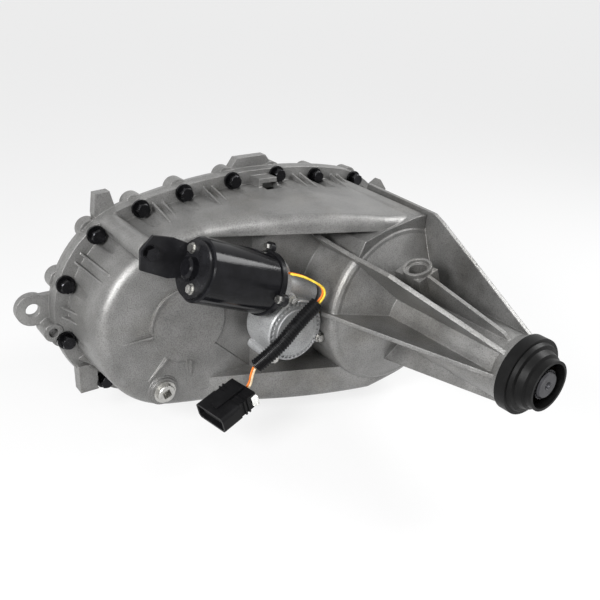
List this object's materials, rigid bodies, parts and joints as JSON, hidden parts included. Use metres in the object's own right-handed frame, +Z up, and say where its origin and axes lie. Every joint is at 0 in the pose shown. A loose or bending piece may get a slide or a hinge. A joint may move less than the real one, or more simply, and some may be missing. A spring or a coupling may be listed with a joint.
{
  "type": "transfer case",
  "caption": "Two-speed electrically shifted transfer case with a chain-driven front output, a finned tail housing and a shift motor with its harness.",
  "frame": {"origin": "centre of the face that bolts to the transmission, on the main shaft's axis", "axes": "+X along the shafts toward the rear output, +Z up, front output shaft at -Y"},
  "size_m": [0.5356, 0.5478, 0.3078],
  "materials": {
    "cast_aluminium": "satin, grainy as cast",
    "machined_steel": "turned, lightly oiled",
    "dark_steel": "hardened, dark",
    "zinc_steel": "zinc plated",
    "cast_iron": "as cast",
    "die_cast": "smooth die-cast",
    "black_paint": "gloss black",
    "black_coating": "matte black",
    "black_plastic": "matte",
    "rubber": "matte",
    "bronze": "sintered",
    "orange_wire": "smooth",
    "yellow_wire": "smooth",
    "pale_wire": "smooth",
    "white_plastic": "smooth"
  },
  "bodies": {
    "case": {"annulus_gear": "dark_steel", "bracket_bolt": "dark_steel", "case_bolts": "black_coating", "chain": "dark_steel", "clutch_coil": "black_paint", "connector": "black_plastic", "connector_clip": "white_plastic", "connector_wire_1": "orange_wire", "connector_wire_2": "pale_wire", "cover_screws": "zinc_steel", "dowel_pins": "machined_steel", "drain_plug": "zinc_steel", "encoder_cover": "die_cast", "fill_plug": "zinc_steel", "front_bearing": "machined_steel", "front_case": "cast_aluminium", "front_output_seal": "rubber", "gear_housing": "die_cast", "input_bearing": "machined_steel", "input_seal": "rubber", "motor_bracket": "black_coating", "motor_can": "black_paint", "motor_flange": "black_coating", "motor_screws": "zinc_steel", "motor_wire_1": "orange_wire", "motor_wire_2": "yellow_wire", "needle_bearing": "machined_steel", "oil_pump": "die_cast", "rear_bearing": "machined_steel", "rear_case": "cast_aluminium", "shift_rail": "machined_steel", "sump_magnet": "dark_steel", "tail_boot": "rubber", "tail_bushing": "bronze", "vent": "machined_steel", "wiring_loom": "black_plastic"},
    "input": {"input_shaft": "machined_steel"},
    "carrier": {"planet_carrier": "dark_steel"},
    "planet_1": {"planet_gear_1": "machined_steel"},
    "planet_2": {"planet_gear_2": "machined_steel"},
    "planet_3": {"planet_gear_3": "machined_steel"},
    "planet_4": {"planet_gear_4": "machined_steel"},
    "rear_output": {"output_shaft": "machined_steel", "clutch_plates": "dark_steel", "tone_wheel": "dark_steel", "snap_ring": "dark_steel"},
    "range_sleeve": {"range_collar": "dark_steel"},
    "mode_sleeve": {"mode_collar": "dark_steel"},
    "front_drive": {"drive_sprocket": "dark_steel", "clutch_housing": "machined_steel"},
    "front_output": {"driven_sprocket": "dark_steel", "front_output_shaft": "machined_steel", "front_output_flange": "cast_iron", "front_output_nut": "zinc_steel"},
    "shift": {"shift_shaft": "machined_steel", "shift_cam": "dark_steel", "worm_wheel": "bronze"},
    "range_shift": {"range_fork": "die_cast"},
    "mode_shift": {"mode_fork": "die_cast"},
    "armature": {"motor_armature": "machined_steel"}
  },
  "joints": [
    {"name": "input_spin", "type": "hinge", "parent": "case", "child": "input", "pos_m": [0, 0, 0], "axis": [1, 0, 0], "continuous": true},
    {"name": "carrier_spin", "type": "hinge", "parent": "case", "child": "carrier", "pos_m": [0, 0, 0], "axis": [1, 0, 0], "continuous": true},
    {"name": "rear_output_spin", "type": "hinge", "parent": "case", "child": "rear_output", "pos_m": [0, 0, 0], "axis": [1, 0, 0], "continuous": true},
    {"name": "front_drive_spin", "type": "hinge", "parent": "case", "child": "front_drive", "pos_m": [0, 0, 0], "axis": [1, 0, 0], "continuous": true},
    {"name": "front_output_spin", "type": "hinge", "parent": "case", "child": "front_output", "pos_m": [0, -0.246, 0], "axis": [1, 0, 0], "continuous": true},
    {"name": "planet_1_spin", "type": "hinge", "parent": "carrier", "child": "planet_1", "pos_m": [0.06, 0.05325, 0], "axis": [1, 0, 0], "continuous": true},
    {"name": "planet_2_spin", "type": "hinge", "parent": "carrier", "child": "planet_2", "pos_m": [0.06, 0, 0.05325], "axis": [1, 0, 0], "continuous": true},
    {"name": "planet_3_spin", "type": "hinge", "parent": "carrier", "child": "planet_3", "pos_m": [0.06, -0.05325, 0], "axis": [1, 0, 0], "continuous": true},
    {"name": "planet_4_spin", "type": "hinge", "parent": "carrier", "child": "planet_4", "pos_m": [0.06, 0, -0.05325], "axis": [1, 0, 0], "continuous": true},
    {"name": "shift_turn", "type": "hinge", "parent": "case", "child": "shift", "pos_m": [0.15, -0.141, -0.0082], "axis": [1, 0, 0], "range_deg": [0, 90]},
    {"name": "range_fork_slide", "type": "slide", "parent": "case", "child": "range_shift", "axis": [1, 0, 0], "range_m": [0, 0.009]},
    {"name": "mode_fork_slide", "type": "slide", "parent": "case", "child": "mode_shift", "axis": [1, 0, 0], "range_m": [0, 0.0045]},
    {"name": "range_sleeve_slide", "type": "slide", "parent": "rear_output", "child": "range_sleeve", "axis": [1, 0, 0], "range_m": [0, 0.009]},
    {"name": "mode_sleeve_slide", "type": "slide", "parent": "rear_output", "child": "mode_sleeve", "axis": [1, 0, 0], "range_m": [0, 0.0045]},
    {"name": "armature_spin", "type": "hinge", "parent": "case", "child": "armature", "pos_m": [0.245, -0.25852, 0.08468], "axis": [0, 0.9291, -0.3697], "range_deg": [0, 2700]}
  ],
  "couplings": [
    {"joint": "carrier_spin", "follows": "rear_output_spin", "ratio": 0.38},
    {"joint": "input_spin", "follows": "rear_output_spin", "ratio": 1},
    {"joint": "front_drive_spin", "follows": "front_output_spin", "ratio": 1},
    {"joint": "planet_1_spin", "follows": "rear_output_spin", "ratio": -1.9633},
    {"joint": "planet_2_spin", "follows": "rear_output_spin", "ratio": -1.9633},
    {"joint": "planet_3_spin", "follows": "rear_output_spin", "ratio": -1.9633},
    {"joint": "planet_4_spin", "follows": "rear_output_spin", "ratio": -1.9633},
    {"joint": "range_fork_slide", "follows": "shift_turn", "m_per_rad": 0.0057296},
    {"joint": "mode_fork_slide", "follows": "shift_turn", "m_per_rad": 0.0028648},
    {"joint": "range_sleeve_slide", "follows": "shift_turn", "m_per_rad": 0.0057296},
    {"joint": "mode_sleeve_slide", "follows": "shift_turn", "m_per_rad": 0.0028648},
    {"joint": "armature_spin", "follows": "shift_turn", "ratio": 30}
  ]
}
